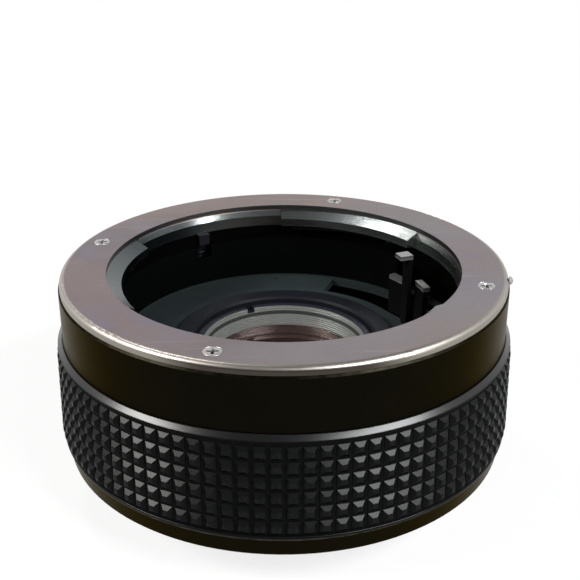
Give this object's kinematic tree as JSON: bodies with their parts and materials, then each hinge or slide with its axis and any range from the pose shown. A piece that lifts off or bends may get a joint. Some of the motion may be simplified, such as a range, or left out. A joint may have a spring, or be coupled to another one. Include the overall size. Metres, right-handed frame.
{
  "type": "camera teleconverter",
  "caption": "Short round camera teleconverter with a female bayonet for the lens, a male bayonet for the camera, a ribbed rubber grip and turning couplings around a lens group.",
  "frame": {"origin": "centre of the bottom, on the optical axis at the end of the camera-side bayonet that the part stands on", "axes": "+Z along the optical axis towards the lens, -Y towards the viewer of the picture, +X to the viewer's right"},
  "size_m": [0.0648, 0.0648, 0.032],
  "materials": {
    "mount_chrome": "satin chrome on brass",
    "screw_steel": "bright plated",
    "bead_enamel": "pale enamel bead",
    "black_barrel": "black anodised, semi-gloss",
    "grip_rubber": "moulded charcoal rubber",
    "matt_black": "anti-reflection black paint",
    "cell_black": "black anodised",
    "ring_grey": "worn satin aluminium",
    "coated_glass": "polished with amber coating",
    "lever_steel": "blackened with bright tips",
    "ring_steel": "turned and greased",
    "spring_steel": "drawn wire",
    "brass": "plain turned"
  },
  "bodies": {
    "converter": {"front_mount_ring": "mount_chrome", "rear_mount_ring": "mount_chrome", "front_mount_screws": "screw_steel", "rear_mount_screws": "screw_steel", "bulkhead_screws": "screw_steel", "keeper_screws": "screw_steel", "rear_baffle_screws": "screw_steel", "index_bead": "bead_enamel", "front_barrel": "black_barrel", "main_barrel": "black_barrel", "grip_sleeve": "grip_rubber", "baffle_tube": "matt_black", "bulkhead": "matt_black", "rear_baffle": "matt_black", "lens_cell": "cell_black", "front_spacer": "cell_black", "rear_spacer": "cell_black", "rear_retaining_ring": "cell_black", "front_retaining_ring": "ring_grey", "front_element": "coated_glass", "second_element": "coated_glass", "third_element": "coated_glass", "rear_element": "coated_glass", "keeper_ring": "ring_steel", "spring_posts": "ring_steel", "bayonet_leaf_springs": "spring_steel", "stop_down_spring": "spring_steel", "meter_spring": "spring_steel", "lock_spring": "spring_steel", "leaf_spring_rivets": "brass", "slip_washer": "brass"},
    "stop_down_coupling": {"stop_down_ring": "ring_steel", "stop_down_lever": "lever_steel", "stop_down_arm": "lever_steel"},
    "meter_coupling": {"meter_ring": "ring_steel", "meter_prongs": "lever_steel", "meter_arm": "lever_steel"},
    "lens_lock": {"lock_latch": "lever_steel", "release_slide": "black_barrel", "release_screw": "screw_steel"}
  },
  "joints": [
    {"name": "stop_down_turn", "type": "hinge", "parent": "converter", "child": "stop_down_coupling", "pos_m": [0, 0, 0.0174], "axis": [0, 0, 1], "range_deg": [0, 30], "stiffness_Nm_per_rad": 0.002, "springref_deg": -28.65, "deforming": ["stop_down_spring"]},
    {"name": "meter_turn", "type": "hinge", "parent": "converter", "child": "meter_coupling", "pos_m": [0, 0, 0.0151], "axis": [0, 0, 1], "range_deg": [-40, 0], "stiffness_Nm_per_rad": 0.002, "springref_deg": 28.65, "deforming": ["meter_spring"]},
    {"name": "lens_release", "type": "slide", "parent": "converter", "child": "lens_lock", "axis": [0, 0, -1], "range_m": [0, 0.0019], "stiffness_N_per_m": 200, "springref_m": -0.002, "deforming": ["lock_spring"]}
  ]
}
